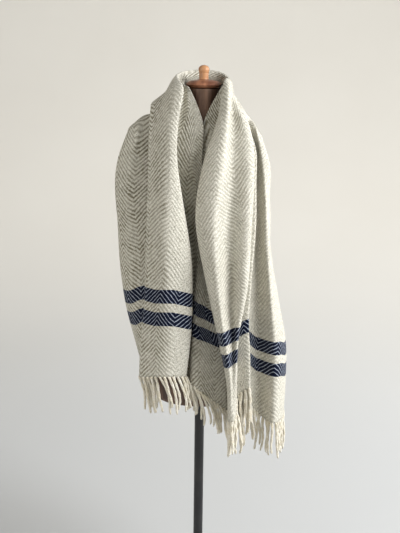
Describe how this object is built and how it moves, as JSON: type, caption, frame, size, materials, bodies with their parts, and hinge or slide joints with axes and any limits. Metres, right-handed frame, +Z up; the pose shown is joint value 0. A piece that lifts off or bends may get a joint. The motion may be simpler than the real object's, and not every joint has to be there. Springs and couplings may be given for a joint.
{
  "type": "wool blanket on dress form stand",
  "caption": "Woven wool blanket with striped ends and fringes, hung round the neck and shoulders of a dress form that stands on a pole with a round base.",
  "frame": {"origin": "middle of the base's flat underside, on the floor", "axes": "+Z up along the pole, +X to the viewer's right, -Y towards the front where both ends of the blanket hang"},
  "size_m": [0.4756, 0.3769, 1.5705],
  "materials": {
    "wool_cream": "soft brushed wool, herringbone weave with dark bands near the ends",
    "form_stain": "dark brown stain, satin",
    "wood_red": "turned wood, satin varnish",
    "wood_light": "turned wood, satin varnish",
    "iron_black": "black, semi-gloss"
  },
  "bodies": {
    "root": {"blanket": "wool_cream", "fringe_left": "wool_cream", "fringe_right": "wool_cream", "form": "form_stain", "bottom_board": "form_stain", "neck_cap": "wood_red", "finial": "wood_light", "arm_plate_left": "wood_light", "arm_plate_right": "wood_light", "pole": "iron_black", "base": "iron_black"}
  },
  "joints": []
}
